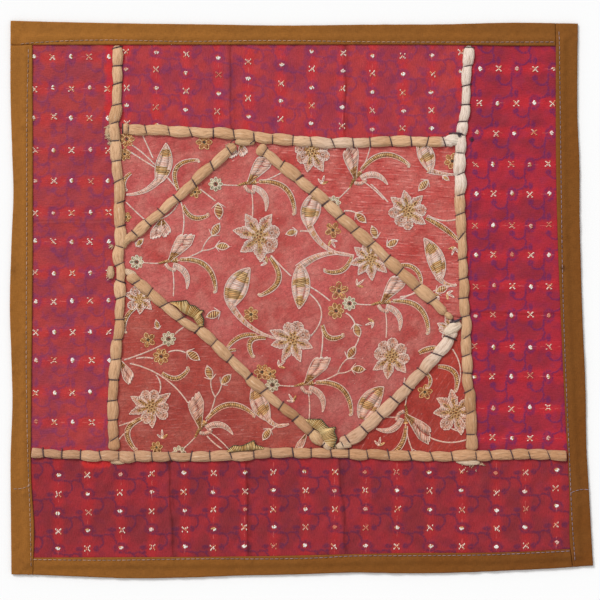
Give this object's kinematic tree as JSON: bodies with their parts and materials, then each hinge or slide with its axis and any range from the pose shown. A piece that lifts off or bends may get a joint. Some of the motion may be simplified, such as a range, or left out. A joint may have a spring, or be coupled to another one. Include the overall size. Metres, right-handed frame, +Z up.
{
  "type": "embroidered cushion cover",
  "caption": "Flat patchwork cushion cover: silk bands round an embroidered silk square, couched cords over the seams, a cotton border and a plain back.",
  "frame": {"origin": "middle of the underside of the back panel", "axes": "+Z up out of the embroidered face, +Y towards the top of the cover as it is looked at, +X to its right"},
  "size_m": [0.4086, 0.3906, 0.0057],
  "materials": {
    "back_cotton": "plain woven mustard cotton, matt",
    "border_cotton": "plain woven mustard to brown cotton, matt, with a line of grey top stitching",
    "band_silk": "shot red silk with a purple woven scroll and small woven crosses and dots, low sheen",
    "centre_silk": "coral silk with a floral vine embroidered in cream and gold thread, low sheen",
    "roving": "unspun tan roving, soft and fibrous, couched down with dark brown thread"
  },
  "bodies": {
    "root": {"back_panel": "back_cotton", "border_left": "border_cotton", "border_top": "border_cotton", "border_right": "border_cotton", "border_bottom": "border_cotton", "band_left": "band_silk", "band_top": "band_silk", "band_right": "band_silk", "band_bottom": "band_silk", "centre_diamond": "centre_silk", "corner_nw": "centre_silk", "corner_ne": "centre_silk", "corner_se": "centre_silk", "corner_sw": "centre_silk", "cord_left_post": "roving", "cord_right_post": "roving", "cord_top_rail": "roving", "cord_bottom_rail": "roving", "cord_diamond_nw": "roving", "cord_diamond_sw": "roving", "cord_diamond_se": "roving", "cord_diamond_ne": "roving"}
  },
  "joints": []
}
